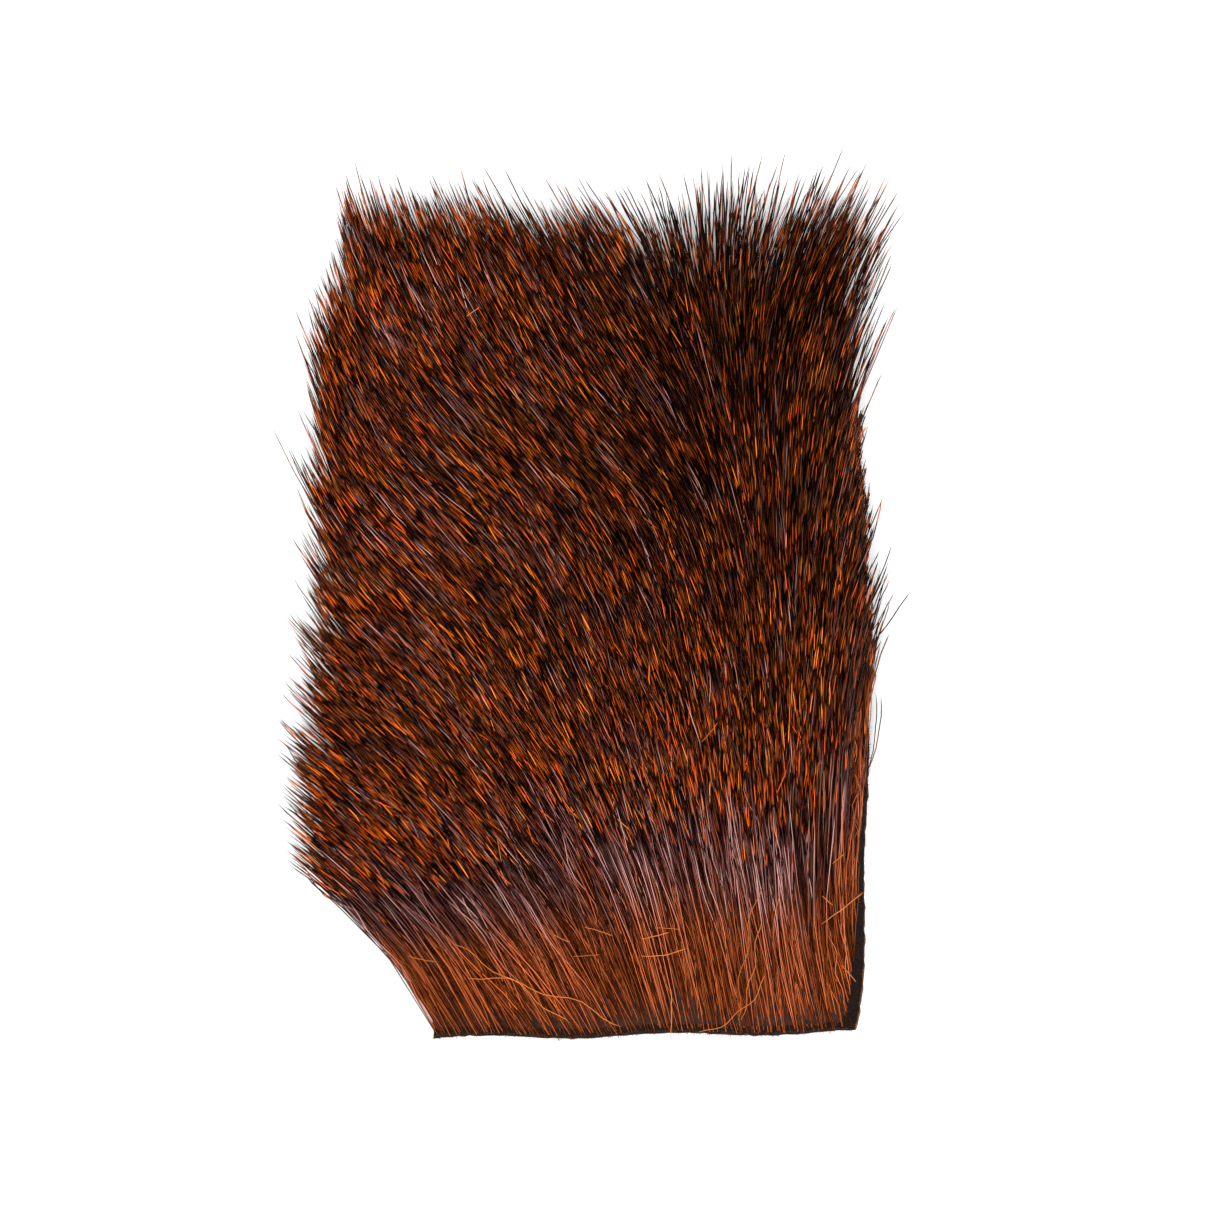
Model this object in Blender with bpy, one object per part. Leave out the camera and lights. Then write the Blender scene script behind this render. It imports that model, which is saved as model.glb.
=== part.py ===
"""A cut patch of dyed deer hide lying flat, skin side down: one piece, the skin and the coat grown on it.

Metres, +Z up. The origin is the middle of the skin's underside, on the surface that the patch lies on.
The hair is rooted all over the skin and combed towards +Y, so it overhangs the skin's top and left edges.
"""

import math

import bmesh
import bpy
from mathutils import Vector, noise

# The skin: a knife-cut piece about 50 mm by 75 mm, whose cut leans in from below.
SKIN_THICKNESS = 0.0015
LOW_LEFT = Vector((-0.0252, -0.0382))
LOW_RIGHT = Vector((0.0247, -0.0377))
TOP_RIGHT = Vector((0.0252, 0.0358))
TOP_LEFT = Vector((-0.0254, 0.0395))
RIGHT_BULGE = 0.0009
BULGE_SKEW = 0.7
CUT_WAVER = 0.00025
WAVES_ALONG = 17.0
WAVES_ACROSS = 14.0
CUT_LEAN = 0.00025
CUT_LEAN_LOW = 0.0008
CUT_LEAN_CORNER = 0.0014
CORNER_LEAN_SHARE = 0.42

# The hair: how far one carries from its root, how high its tip stands, and how it rises on the way.
HAIR_REACH = 0.0245
COAT_HEIGHT = 0.0068
RISE_POWER = 1.7
ROOT_INSET = 0.0003
BARE_CORNER = 0.0045
BARE_FROM = 0.50

# Which way the hair lies, in degrees to the left of +Y: a row for each height on the patch, from the top,
# and a column for each distance across it.
COMB_ACROSS = (-0.037, -0.025, -0.014, -0.002, 0.010, 0.019, 0.025)
COMB_ROWS = (
    (0.060, (16, 28, 34, 26, -2, -20, -26)),
    (0.046, (27, 28, 28, 31, 4, -20, -22)),
    (0.030, (36, 36, 40, 40, 14, -8, -6)),
    (0.014, (40, 32, 25, 26, 13, -5, -1)),
    (-0.002, (48, 38, 31, 22, 4, -3, 0)),
    (-0.016, (48, 38, 33, 20, 6, 0, 2)),
    (-0.028, (45, 41, 36, 17, 8, 10, 16)),
    (-0.036, (32, 33, 30, 17, 8, 14, 18)),
)
COMB_STEP = 0.0024

# The slab of the coat: its body stops short of the hair tips, which stand out of its rim as locks.
SLAB_SHARE = 0.80
ACROSS_STEPS = 32
ALONG_STEPS = 46
WALL_RINGS = 4
RIM_SHARE = 0.98
RIM_DEPTH = 0.0010
LUMP_HEIGHT = 0.0008
LUMP_ACROSS = 0.0026
LUMP_ALONG = 0.0110
LUMP_SIDEWAYS = 0.0005

# Locks: stations along each as (share of its length, share of its root's width left), the last a point.
LOCK_STATIONS = ((0.45, 0.74), (0.80, 0.42), (1.0, 0.0))
LOCK_LENGTH = (0.0032, 0.0074)
LOCK_LEAN = 2.0
LOCK_RISE = 0.0004
LOCK_DROOP = 0.0018
TUFT_STEPS = (14, 17, 20)
TUFT_LENGTH = 0.0085
TUFT_LEAN = 20.0

# Finishes, as linear colours: rusty brown hair, and skin that the dye has turned nearly black at the cut.
HAIR_COLOUR = (0.091, 0.018, 0.009)
HAIR_ROUGHNESS = 0.5
SKIN_COLOUR = (0.020, 0.009, 0.006)
SKIN_ROUGHNESS = 0.9
SKIN_SLOT = 1


def clear_scene():
    for obj in list(bpy.data.objects):
        bpy.data.objects.remove(obj)


def material(name, colour, roughness):
    made = bpy.data.materials.new(name)
    made.use_nodes = True
    shader = made.node_tree.nodes["Principled BSDF"]
    shader.inputs["Base Color"].default_value = (*colour, 1.0)
    shader.inputs["Roughness"].default_value = roughness
    shader.inputs["Metallic"].default_value = 0.0
    return made


def between(low, high, share):
    return low + (high - low) * share


def clamped(value):
    return min(1.0, max(0.0, value))


def on_skin(across, along):
    """The point of the skin's underside at these shares of its width and height, from its low left corner."""
    low = between(LOW_LEFT, LOW_RIGHT, across)
    high = between(TOP_LEFT, TOP_RIGHT, across)
    point = between(low, high, along)
    point.x += RIGHT_BULGE * across * math.sin(math.pi * along**BULGE_SKEW)
    point.x += CUT_WAVER * (2 * across - 1) * math.sin(WAVES_ALONG * along)
    point.y += CUT_WAVER * (1 - along) * math.sin(WAVES_ACROSS * across)
    return point


def leaned_in(across, along, inset=0.0, bare=0.0):
    """on_skin for the skin's upper face, which the leaning cut leaves smaller, drawn in further if asked."""
    width = LOW_RIGHT.x - LOW_LEFT.x
    height = TOP_LEFT.y - LOW_LEFT.y
    left = CUT_LEAN + inset
    right = CUT_LEAN + inset + CUT_LEAN_CORNER * clamped(1 - along / CORNER_LEAN_SHARE)
    right += bare * clamped((along - BARE_FROM) / (1 - BARE_FROM))
    low = (CUT_LEAN_LOW + inset) / height
    top = (CUT_LEAN + inset) / height
    return on_skin(between(left / width, 1 - right / width, across), between(low, 1 - top, along))


def comb_angle(point):
    """The lie of the hair at a point, in radians to the left of +Y, between the comb's rows and columns."""
    column = 0
    while column < len(COMB_ACROSS) - 2 and point.x > COMB_ACROSS[column + 1]:
        column += 1
    row = 0
    while row < len(COMB_ROWS) - 2 and point.y < COMB_ROWS[row + 1][0]:
        row += 1
    left, right = COMB_ACROSS[column], COMB_ACROSS[column + 1]
    (upper_y, upper), (lower_y, lower) = COMB_ROWS[row], COMB_ROWS[row + 1]
    across = clamped((point.x - left) / (right - left))
    down = clamped((upper_y - point.y) / (upper_y - lower_y))
    above = between(upper[column], upper[column + 1], across)
    below = between(lower[column], lower[column + 1], across)
    return math.radians(between(above, below, down))


def comb_way(point, lean=0.0):
    """The unit vector of the hair's lie at a point, turned this many degrees more to the right."""
    angle = comb_angle(point) - math.radians(lean)
    return Vector((-math.sin(angle), math.cos(angle)))


def carried(start, reach, lean=0.0):
    """Where the comb carries a point that goes this far along it, in steps of about COMB_STEP."""
    point = start.copy()
    steps = max(1, round(reach / COMB_STEP))
    for _ in range(steps):
        point += comb_way(point, lean) * (reach / steps)
    return point


def lump(point):
    """From -1 to 1: lumps of hair, longer the way that it lies than across it."""
    way = comb_way(point)
    across = point.dot(Vector((way.y, -way.x)))
    return noise.noise(Vector((across / LUMP_ACROSS, point.dot(way) / LUMP_ALONG, 0.5)))


def leading(across, along):
    """How squarely the hair leaves the skin over its rim here: 1 where it overhangs, 0 where it lies back."""
    outward = Vector(((across == 1) - (across == 0), (along == 1) - (along == 0)))
    facing = outward.normalized().dot(comb_way(leaned_in(across, along)))
    return clamped(0.5 + facing / 0.6)


def coat_point(across, along, share, depth=0.0):
    """A point of the coat this share of the way from the skin to the tips' face, and this far below it."""
    root = leaned_in(across, along, ROOT_INSET, BARE_CORNER)
    full = carried(root, HAIR_REACH * SLAB_SHARE)
    point = carried(root, HAIR_REACH * SLAB_SHARE * share)
    way = comb_way(point)
    point += Vector((way.y, -way.x)) * (LUMP_SIDEWAYS * lump(full) * share)
    rise = COAT_HEIGHT * (1 - (1 - SLAB_SHARE * share) ** RISE_POWER)
    return Vector((*point, SKIN_THICKNESS + rise + LUMP_HEIGHT * lump(full) * share - depth * share))


def rim_steps():
    """The grid steps (across, along) of the rim's points, anticlockwise from the low left corner."""
    low = [(i, 0) for i in range(ACROSS_STEPS)]
    right = [(ACROSS_STEPS, j) for j in range(ALONG_STEPS)]
    top = [(i, ALONG_STEPS) for i in range(ACROSS_STEPS, 0, -1)]
    left = [(0, j) for j in range(ALONG_STEPS, 0, -1)]
    return low + right + top + left


def loft(mesh, lower, upper):
    """Join two rings of as many points with a band of faces, and return the band."""
    following = [*range(1, len(lower)), 0]
    return [mesh.faces.new((lower[i], lower[j], upper[j], upper[i])) for i, j in enumerate(following)]


def add_ring(mesh, points):
    return [mesh.verts.new(point) for point in points]


def add_walls(mesh, shares):
    """The skin's underside and cut edge, then the coat's sides, carried along the comb as they rise."""
    under = add_ring(mesh, [(*on_skin(*share), 0.0) for share in shares])
    upper = add_ring(mesh, [(*leaned_in(*share), SKIN_THICKNESS) for share in shares])
    for face in [mesh.faces.new(reversed(under)), *loft(mesh, under, upper)]:
        face.material_index = SKIN_SLOT
    for ring in range(WALL_RINGS):
        part = ring / WALL_RINGS
        coat = add_ring(mesh, [coat_point(*share, part, RIM_DEPTH * leading(*share)) for share in shares])
        loft(mesh, upper, coat)
        upper = coat
    rim = add_ring(mesh, [coat_point(*share, RIM_SHARE, RIM_DEPTH * leading(*share)) for share in shares])
    loft(mesh, upper, rim)
    return rim


def add_face(mesh, steps, edge):
    """The lumpy face of hair tips, as a grid inside the edge's points."""
    grid = dict(zip(steps, edge))
    for i in range(1, ACROSS_STEPS):
        for j in range(1, ALONG_STEPS):
            grid[i, j] = mesh.verts.new(coat_point(i / ACROSS_STEPS, j / ALONG_STEPS, 1.0))
    for i in range(ACROSS_STEPS):
        for j in range(ALONG_STEPS):
            mesh.faces.new((grid[i, j], grid[i + 1, j], grid[i + 1, j + 1], grid[i, j + 1]))


def grow_lock(mesh, root, length, lean, droop):
    """Draw one face of the rim out along the comb into a lock that narrows to a point and droops."""
    middle = root.calc_center_median()
    spread = [corner.co - middle for corner in root.verts]
    tip = root
    for share, width in LOCK_STATIONS:
        tip = bmesh.ops.extrude_discrete_faces(mesh, faces=[tip])["faces"][0]
        place = carried(middle.xy, length * share, lean)
        height = middle.z + LOCK_RISE * share - droop * share**2
        for corner, offset in zip(tip.verts, spread):
            corner.co = Vector((*place, height)) + offset * width
    bmesh.ops.pointmerge(mesh, verts=list(tip.verts), merge_co=tip.calc_center_median())


def add_locks(mesh, steps, band):
    """Locks from every face of the rim along the top and the left, and a loose tuft on the right."""
    for (i, j), face in zip(steps, band):
        roll = noise.random_vector()
        length = between(*LOCK_LENGTH, 0.5 + 0.5 * roll.x)
        droop = LOCK_DROOP * (0.5 + 0.5 * roll.z)
        if i == ACROSS_STEPS and j in TUFT_STEPS:
            grow_lock(mesh, face, TUFT_LENGTH, TUFT_LEAN, droop)
        elif (j == ALONG_STEPS and i > 0) or (i == 0 and j > 0):
            grow_lock(mesh, face, length, LOCK_LEAN * roll.y, droop)


def build_hide(collection):
    """The whole patch as one closed body, of hair but for the skin's underside and its cut edge."""
    noise.seed_set(7)
    steps = rim_steps()
    shares = [(i / ACROSS_STEPS, j / ALONG_STEPS) for i, j in steps]
    mesh = bmesh.new()
    rim = add_walls(mesh, shares)
    edge = add_ring(mesh, [coat_point(*share, 1.0) for share in shares])
    band = loft(mesh, rim, edge)
    add_face(mesh, steps, edge)
    add_locks(mesh, steps, band)
    data = bpy.data.meshes.new("hide")
    mesh.to_mesh(data)
    mesh.free()
    hide = bpy.data.objects.new("hide", data)
    hide.data.materials.append(material("dyed hair", HAIR_COLOUR, HAIR_ROUGHNESS))
    hide.data.materials.append(material("dyed skin", SKIN_COLOUR, SKIN_ROUGHNESS))
    collection.objects.link(hide)


def main():
    clear_scene()
    collection = bpy.data.collections.new("deer hair patch")
    bpy.context.scene.collection.children.link(collection)
    build_hide(collection)


main()
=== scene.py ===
"""Deer hair patch: the looks of a dyed and combed piece of deer hide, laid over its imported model."""

import math
from collections import namedtuple

import bpy
import numpy as np
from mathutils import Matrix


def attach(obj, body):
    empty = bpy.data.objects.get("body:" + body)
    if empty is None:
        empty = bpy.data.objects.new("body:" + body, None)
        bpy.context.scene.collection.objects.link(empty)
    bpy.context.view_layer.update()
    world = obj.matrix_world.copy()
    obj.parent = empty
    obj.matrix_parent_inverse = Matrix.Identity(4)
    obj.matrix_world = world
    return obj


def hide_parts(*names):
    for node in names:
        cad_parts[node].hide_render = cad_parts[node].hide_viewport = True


bl_info = {
    "name": "Deer Hair Patch",
    "version": (1, 0, 0),
    "blender": (4, 5, 0),
    "location": "3D View > Sidebar > Deer Hair",
    "description": "Grows the coat of a dyed deer hide patch on its skin",
    "category": "Add Mesh",
}

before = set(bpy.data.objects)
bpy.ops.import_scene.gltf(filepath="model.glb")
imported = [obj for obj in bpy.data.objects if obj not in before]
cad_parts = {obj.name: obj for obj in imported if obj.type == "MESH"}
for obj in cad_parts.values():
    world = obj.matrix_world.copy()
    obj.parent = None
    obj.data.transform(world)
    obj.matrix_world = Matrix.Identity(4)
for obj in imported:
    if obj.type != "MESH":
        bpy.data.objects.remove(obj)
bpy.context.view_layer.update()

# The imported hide's points, of which those below FLAT are its underside, give the skin's corners and top.
NODE = "hide"
FLAT = 0.0001


def node_points(name):
    """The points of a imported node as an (n, 3) array."""
    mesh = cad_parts[name].data
    flat = np.empty(len(mesh.vertices) * 3, np.float32)
    mesh.vertices.foreach_get("co", flat)
    return flat.reshape(-1, 3).astype(float)


def corner_of(points, right, up):
    """The point of a flat outline that lies furthest right (or left, -1) and up (or down, -1)."""
    return points[np.argmax(points[:, 0] * right + points[:, 1] * up), :2]


POINTS = node_points(NODE)
UNDER = POINTS[POINTS[:, 2] < FLAT]
SKIN_TOP = float(POINTS[POINTS[:, 2] > FLAT, 2].min())
LOW_LEFT = corner_of(UNDER, -1, -1)
LOW_RIGHT = corner_of(UNDER, 1, -1)
TOP_LEFT = corner_of(UNDER, -1, 1)
TOP_RIGHT = corner_of(UNDER, 1, 1)
SKIN_WIDTH = float(np.linalg.norm(LOW_RIGHT - LOW_LEFT))
SKIN_LENGTH = float(np.linalg.norm(TOP_LEFT - LOW_LEFT))

# The skin's outline between its corners, and how its cut edge leans in: most at its lower right corner,
# over this share of its length.
RIGHT_BULGE = 0.0012
BULGE_SKEW = 0.7
CUT_WAVER = 0.00025
WAVES_ALONG = 17.0
WAVES_ACROSS = 14.0
CUT_LEAN = 0.00025
CUT_LEAN_LOW = 0.0005
CUT_LEAN_CORNER = 0.0014
CORNER_LEAN_SHARE = 0.42

# The skin's mesh: faces across and along it, heights of its edge's rings, and their roughness.
SKIN_SEED = 5
SKIN_GRID = (70, 106)
EDGE_LEVELS = (0.0, 0.25, 0.5, 0.75, 1.0)
EDGE_ROUGHNESS = 0.00005

# The underfur: its grid, its shares of a hair's length and of the coat's height, and how far it keeps from
# the skin's top right corner.
UNDERFUR_SEED = 3
UNDERFUR_GRID = (40, 60)
UNDERFUR_REACH = 0.60
UNDERFUR_HEIGHT = 0.40
UNDERFUR_INSET = 0.01
UNDERFUR_LIFT = 0.0002
UNDERFUR_RINGS = 7
UNDERFUR_ROUGHNESS = 0.06
BARE_CORNER = 0.0045
BARE_FROM = 0.50

# Which way the hair lies, in degrees to the left of +Y: a row for each height, the lowest first, and a
# column for each distance across the patch.
COMB_ACROSS = np.array([-0.038, -0.030, -0.021, -0.012, -0.003, 0.006, 0.014, 0.020, 0.026])
COMB_ALONG = np.array([-0.036, -0.029, -0.018, -0.006, 0.005, 0.016, 0.028, 0.037, 0.047, 0.057])
COMB = np.array([
    [24, 24, 26, 30, 24, 12, 8, 14, 18],
    [40, 36, 34, 33, 18, 14, 9, 11, 16],
    [48, 44, 38, 32, 22, 13, 6, 2, 6],
    [50, 46, 36, 32, 22, 10, 4, -1, 5],
    [42, 44, 38, 27, 22, 13, 5, -4, -4],
    [32, 44, 40, 30, 24, 19, 6, -6, -9],
    [24, 42, 45, 40, 42, 26, 3, -7, -8],
    [20, 35, 39, 36, 36, 24, 0, -10, -12],
    [20, 28, 28, 28, 32, 16, -9, -19, -20],
    [14, 22, 28, 31, 32, 8, -16, -25, -27],
], float)

# Every hair is one of this many shades, each a column of its colour's map, of which it takes up a share.
SHADES = 256
LAST_SHADE = 0.9999
SHADE_SHARE = 0.8
CAP_SHARE = 0.25
HAIR_MAP = "OFBake"

# What makes a hair lighter: a painted highlight on its ridge and painted shade on its sides, its tone,
# and a number drawn for its shade.
SIDE_SHADE_GAIN = -0.25
RIDGE_HIGHLIGHT_GAIN = 1.65
TONE_GAIN = 1.0
LEAST_TONE = 0.5
DRAWN_POWER = 2.4
DRAWN_GAIN = 1.75
LEAST_DRAWN = 0.17

# A banded hair: how far its colours shift along it, the powers by which few are gold or pale (a painted
# sheen), how its tone and the place on it make its middle ash (a greyer brown, partly painted sheen), and
# the share of it that its band takes.
BAND_SHIFT = 0.08
GOLD_POWER = 3.0
PAINTED_SHEEN_POWER = 3.0
ASH_AND_SHEEN_GAIN = 2.4
ASH_AND_SHEEN_FROM = -0.6
ASH_AND_SHEEN_ALONG = ((0.05, 0.0), (0.14, 0.2), (0.42, 0.2), (0.58, 1.0), (0.72, 1.0), (0.80, 0.0))
NOISE_START = 0.37
UNDER_BAND = 0.05
GUARD_BAND = 0.06
TUFT_BAND = 0.08

# The skin's mottling and bumps, and how light the underfur, dark as painted shade, is at most.
MOTTLE_GAIN = 1.4
LEAST_MOTTLE = 0.3
SKIN_BUMP = 0.00015
UNDERFUR_SHADE_LIGHT = 0.15

# A hair's form: how it rises, where it thickens and tapers, and how far its root strays over the cut.
RISE_POWER = 1.7
HAIR_SIDES = 3
ROOT_WIDTH = 0.72
FULL_FROM = 0.35
TAPER_FROM = 0.93
ROOT_STRAY = 0.0003

# Clumps of hair: the spread of their lean, height, tone and border, and the power that draws hairs in.
CLUMP_SEED = 11
CLUMP_LEAN = 2.2
CLUMP_LIFT = 0.08
CLUMP_TONE = 0.08
CLUMP_BLUR = 0.3
GATHER_POWER = 1.3

# Hairs: the spread of their hold, tone and waves, and their share of lean near the skin's left edge.
HOLD_SPREAD = 0.15
MOST_HOLD = 0.9
TONE_SPREAD = 0.2
WAVES_SPREAD = (0.8, 1.2)
LEFT_LEAN = 0.4
LEFT_LEAN_FADE = 0.1

# A coat is one kind of hair. Reach, height and width are (low, high) shares of the patch's sizes. Hold is
# how tightly the hairs gather in clumps, lean their spread in degrees, and tone their lightness. Droop is
# how far their tips sink, swing how far they swing sideways and waves how often. Crowd is the power by
# which their stations crowd towards the tip, and rooted the share of the skin's length they are rooted on.
Coat = namedtuple(
    "Coat", "name seed reach height width hold lean stations crowd tone droop swing waves rooted")
UNDER_COAT = Coat(
    "under_hair", 21, (0.40, 0.80), (0.25, 0.60), (0.9, 1.2),
    0.2, 5.0, 5, 1.9, 0.35, 0.0, 0.00010, 1.3, 1.0)
GUARD_COATS = (
    Coat("guard_hair_low", 31, (0.66, 0.97), (0.45, 0.75), (0.8, 1.15),
         0.3, 3.0, 5, 1.9, 0.40, 0.0004, 0.00015, 1.3, 1.0),
    Coat("guard_hair_mid", 32, (0.74, 1.03), (0.60, 0.90), (0.8, 1.15),
         0.3, 3.0, 5, 1.9, 0.45, 0.0006, 0.00015, 1.3, 1.0),
    Coat("guard_hair_high", 33, (0.82, 1.06), (0.72, 1.00), (0.8, 1.15),
         0.3, 3.0, 5, 1.9, 0.50, 0.0008, 0.00015, 1.3, 1.0),
    Coat("guard_hair_over", 34, (0.88, 1.08), (0.80, 1.08), (0.8, 1.15),
         0.3, 3.5, 5, 1.9, 0.50, 0.0008, 0.00020, 1.3, 1.0),
)
TOP_COAT = Coat(
    "top_hair", 41, (0.90, 1.10), (0.98, 1.16), (0.8, 1.15),
    0.25, 4.0, 6, 1.8, 0.60, 0.0010, 0.00025, 1.3, 1.0)
WAVY_COAT = Coat(
    "wavy_hair", 43, (0.78, 1.10), (0.90, 1.14), (0.7, 1.05),
    0.2, 4.5, 14, 1.2, 0.72, 0.0008, 0.00035, 2.4, 0.4)

# How many times longer hairs are at the skin's left edge, by height, and how far in this fades out.
LEFT_AT = (-0.034, -0.026, -0.017, -0.010, 0.000, 0.011, 0.020, 0.033)
LEFT_LONGER = (1.05, 1.03, 1.04, 0.91, 1.00, 1.28, 1.28, 1.04)
LEFT_FADE = 0.012

# How much longer hairs are at the skin's top right corner and top edge, and a gap of shorter ones there.
LONGER_TOP_RIGHT = 0.22
LONGER_TOP = 0.08
GAP_MIDDLE = 0.0075
GAP_WIDTH = 0.0022
GAP_SHORTER = 0.10

# How much longer hairs are near the skin's lower edge, at least and at most, and the shares of its length
# and width where this fades. A few hairs at the top right are longer by UNEVEN_TOP.
UNEVEN_SHORT = 0.12
UNEVEN_LONG = 0.56
UNEVEN_FADE = 0.35
UNEVEN_FROM = 0.15
UNEVEN_OVER = 0.30
UNEVEN_TOP = 0.14

# The short brown pile at the skin's right edge: its width and its hairs' length by height, how much of a
# hair's colours they have, and how rough its border is.
PILE_AT = (-0.038, -0.012, 0.003, 0.009, 0.0250, 0.0270, 0.0310, 0.0370)
PILE_WIDTH = (0.0006, 0.0024, 0.0020, 0.0000, 0.0000, 0.0038, 0.0060, 0.0060)
PILE_LENGTH = (0.0100, 0.0110, 0.0090, 0.0040, 0.0030, 0.0030, 0.0030, 0.0026)
PILE_SPREAD = (0.8, 1.2)
PILE_COLOURS = 0.42
PILE_ROUGHNESS = 0.0004

# No hair reaches over the pile's wide part: those right of and below CLEAR_FROM end at its height, or are
# about CLEAR_LENGTH long.
CLEAR_FROM = (0.0205, 0.0262)
CLEAR_LENGTH = 0.0040
CLEAR_SPREAD = (0.85, 1.1)

# How far hairs may reach that are rooted at the skin's right edge, by height, and how much further for
# each metre inside it.
SIDE_AT = (-0.022, -0.014, -0.004, 0.004, 0.0262, 0.0280)
SIDE_ROOM = (0.030, 0.016, 0.0060, 0.0024, 0.0024, 0.040)
SIDE_SLOPE = 3.8

# How much lighter the coat is by region of this box, and in bells of a middle, widths and a gain.
REGION_CORNER = (-0.040, -0.038)
REGION_SIZE = (0.068, 0.100)
LIGHT_LEFT = -0.06
LIGHT_TOP_LEFT = 0.36
LIGHT_LOW = 0.24
LIGHT_LOW_FADE = 0.9
LIGHT_RIGHT = -0.06
LIGHT_BELLS = (
    ((0.004, 0.052), (0.020, 0.026), -0.36),
    # The second bell lightens the hair low in the middle and turns more of it ash and pale, as a painted
    # sheen there.
    ((0.008, -0.006), (0.022, 0.011), 0.24),
)

# Loose hairs over the coat: start x and y, heading in degrees to the left of +Y, length, and turn.
LOOSE_HAIRS = (
    (-0.0210, -0.0308, -109, 0.0200, -25),
    (-0.0224, -0.0268, -126, 0.0172, -12),
    (-0.0087, -0.0282, -86, 0.0032, 0),
    (-0.0109, -0.0256, -115, 0.0021, 15),
    (-0.0073, -0.0247, -108, 0.0035, -10),
    (-0.0175, -0.0143, -170, 0.0028, 0),
    (0.0107, -0.0359, -9, 0.0170, -12),
    (0.0110, -0.0358, -10, 0.0124, 10),
    (0.0061, -0.0373, -47, 0.0115, 55),
    (0.0204, -0.0210, -132, 0.0017, 0),
    (0.0204, -0.0243, -52, 0.0062, 8),
    (0.0228, -0.0293, -139, 0.0026, 0),
    (0.0028, -0.0382, 0, 0.0062, 6),
    (-0.0035, -0.0120, -132, 0.0019, 0),
    (0.0063, -0.0030, -40, 0.0030, 10),
    (0.0216, -0.0172, -50, 0.0018, 0),
    (-0.0211, 0.0466, -55, 0.0019, 0),
    (-0.0281, -0.0281, -102, 0.0035, 10),
    (0.0009, -0.0248, -94, 0.0031, -8),
    (-0.0007, -0.0261, -76, 0.0034, 6),
    (-0.0007, -0.0281, -80, 0.0054, 33),
)
LOOSE_SEED = 51
LOOSE_WIDTH = 0.00014
LOOSE_LIFT = 0.0003
LOOSE_WAVES = 2.3
LOOSE_STATIONS = 14
LOOSE_DARKEST = 0.6
LONG_SWING = 16.0
SHORT_SWING = 4.0
LONG_FROM = 0.008

# Tufts at the right edge, between two shares of the skin's length, rooted this far inside its edge.
Tuft = namedtuple("Tuft", "count along inside heading spread length turn rise")
BANDED_TUFTS = (
    Tuft(12, (0.575, 0.66), 0.0006, -20, 5, (0.0055, 0.0125), 6, 0.0030),
    Tuft(4, (0.76, 0.84), 0.0002, -4, 2, (0.0060, 0.0080), 4, 0.0010),
    Tuft(2, (0.39, 0.43), 0.0002, -9, 3, (0.0100, 0.0120), 22, 0.0020),
)
LIGHT_TUFTS = (
    Tuft(7, (0.93, 0.97), 0.0022, -38, 6, (0.0026, 0.0036), 0, 0.0008),
    Tuft(7, (0.985, 1.0), 0.0012, -10, 12, (0.0030, 0.0055), 14, 0.0015),
)
TUFT_WIDTH = 0.00017
TUFT_STATIONS = 9
TUFT_TURN_SPREAD = 4.0
TUFT_SWING = 3.0
TUFT_PHASE = 50.0
TUFT_RISE_SPREAD = (0.5, 1.0)
STRAND_SPREAD = (0.7, 1.1)

# Fuzz on the cut edge: its share on each side of the skin, with the way out there, and how it stands.
FUZZ_SEED = 61
FUZZ_SIDES = (
    ("low", 0.48, (0, -1)),
    ("right", 0.36, (1, 0)),
    ("top", 0.08, (0, 1)),
    ("left", 0.08, (-1, 0)),
)
FUZZ_WIDTH = 0.00004
FUZZ_ROOT = 0.00008
FUZZ_LOWEST = 0.0001
FUZZ_SPREAD = 0.7
FUZZ_RISE = 0.25
FUZZ_SHORTEST = 0.15
FUZZ_BEND = 0.2
FUZZ_LIGHT = 0.5

# The camera: straight above, far enough for an even view, as wide as the photo's frame.
LENS = 200.0
SENSOR = 36.0
PHOTO_PIXELS = 1216
PIXEL = 0.000118
VIEW_WIDTH = PHOTO_PIXELS * PIXEL
VIEW_MIDDLE = (-0.0046, 0.0126)

# The stage: its floor, which glows a little so that shadows stay pale, the light from all round, and lamps
# as (name, place, size, power).
FLOOR_SIZE = 2.0
FLOOR_DROP = 0.00005
FLOOR_GREY = 0.93
FLOOR_GLOW = 0.18
WORLD_LIGHT = 0.12
LAMPS = (
    ("key", (-0.24, -0.22, 0.76), 0.35, 3.5),
    ("fill", (0.24, 0.22, 0.78), 0.45, 2.9),
    ("left", (-0.26, 0.20, 0.75), 0.40, 2.4),
    ("right", (0.26, -0.20, 0.75), 0.40, 2.4),
)


class PatchSizes(bpy.types.PropertyGroup):
    """Sizes of the coat and of its hairs."""

    hair_length: bpy.props.FloatProperty(
        name="Hair length", description="How far a hair reaches from its root, as it lies",
        default=0.0245, unit="LENGTH")
    hair_width: bpy.props.FloatProperty(
        name="Hair width", description="Thickness of a guard hair at its widest",
        default=0.00015, unit="LENGTH")
    coat_height: bpy.props.FloatProperty(
        name="Coat height", description="How high the tips of the hair stand above the skin",
        default=0.0068, unit="LENGTH")
    clump: bpy.props.FloatProperty(
        name="Clump spacing", description="Distance between the middles of two clumps of hair",
        default=0.0019, unit="LENGTH")
    fuzz_length: bpy.props.FloatProperty(
        name="Fuzz length", description="Length of the longest fibre on the skin's cut edge",
        default=0.0009, unit="LENGTH")


class PatchCounts(bpy.types.PropertyGroup):
    """How many hairs of each kind grow."""

    under_hairs: bpy.props.IntProperty(
        name="Under hairs", description="Short dark hairs that fill the coat", default=3000)
    guard_hairs: bpy.props.IntProperty(
        name="Guard hairs", description="Banded hairs that make the coat", default=28000)
    top_hairs: bpy.props.IntProperty(
        name="Top hairs", description="Banded hairs that lie over the coat", default=4000)
    wavy_hairs: bpy.props.IntProperty(
        name="Wavy hairs", description="Wavy hairs over the lower part of the coat", default=1100)
    fuzz: bpy.props.IntProperty(
        name="Fuzz", description="Fibres on the skin's cut edge", default=3200)


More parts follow.
